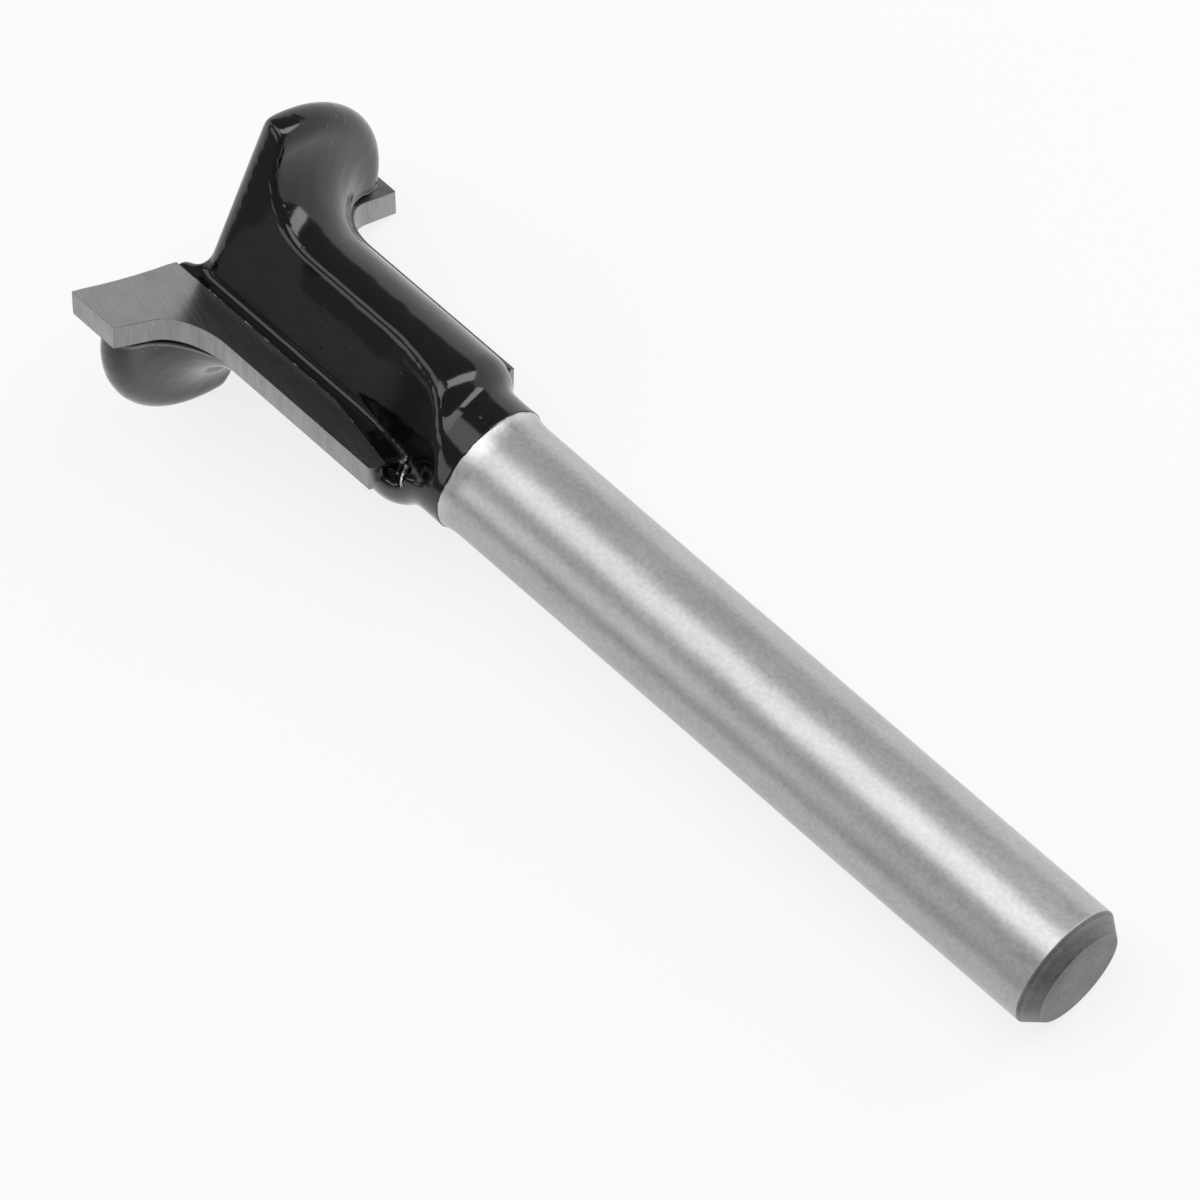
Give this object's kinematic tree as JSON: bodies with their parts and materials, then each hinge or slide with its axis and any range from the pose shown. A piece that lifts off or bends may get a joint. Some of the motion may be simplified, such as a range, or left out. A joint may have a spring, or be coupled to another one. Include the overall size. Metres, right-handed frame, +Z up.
{
  "type": "router bit",
  "caption": "Cove-profile router bit: painted steel cutter head with brazed carbide tips on a plain ground shank, for shaping wood edges.",
  "frame": {"origin": "on the bench surface, under the middle of the lying bit", "axes": "+X along the bit towards the free end of the shank, +Z up; the bit lies as it comes to rest, on the heel of one wing, the outer corner of the other tip and the rim of the shank"},
  "size_m": [0.0708, 0.0218, 0.0182],
  "materials": {
    "steel": "fine-ground bare shank; the head is coated in gloss black paint",
    "carbide": "fine-ground tungsten carbide"
  },
  "bodies": {
    "root": {"steel_body": "steel", "carbide_tip_1": "carbide", "carbide_tip_2": "carbide"}
  },
  "joints": []
}
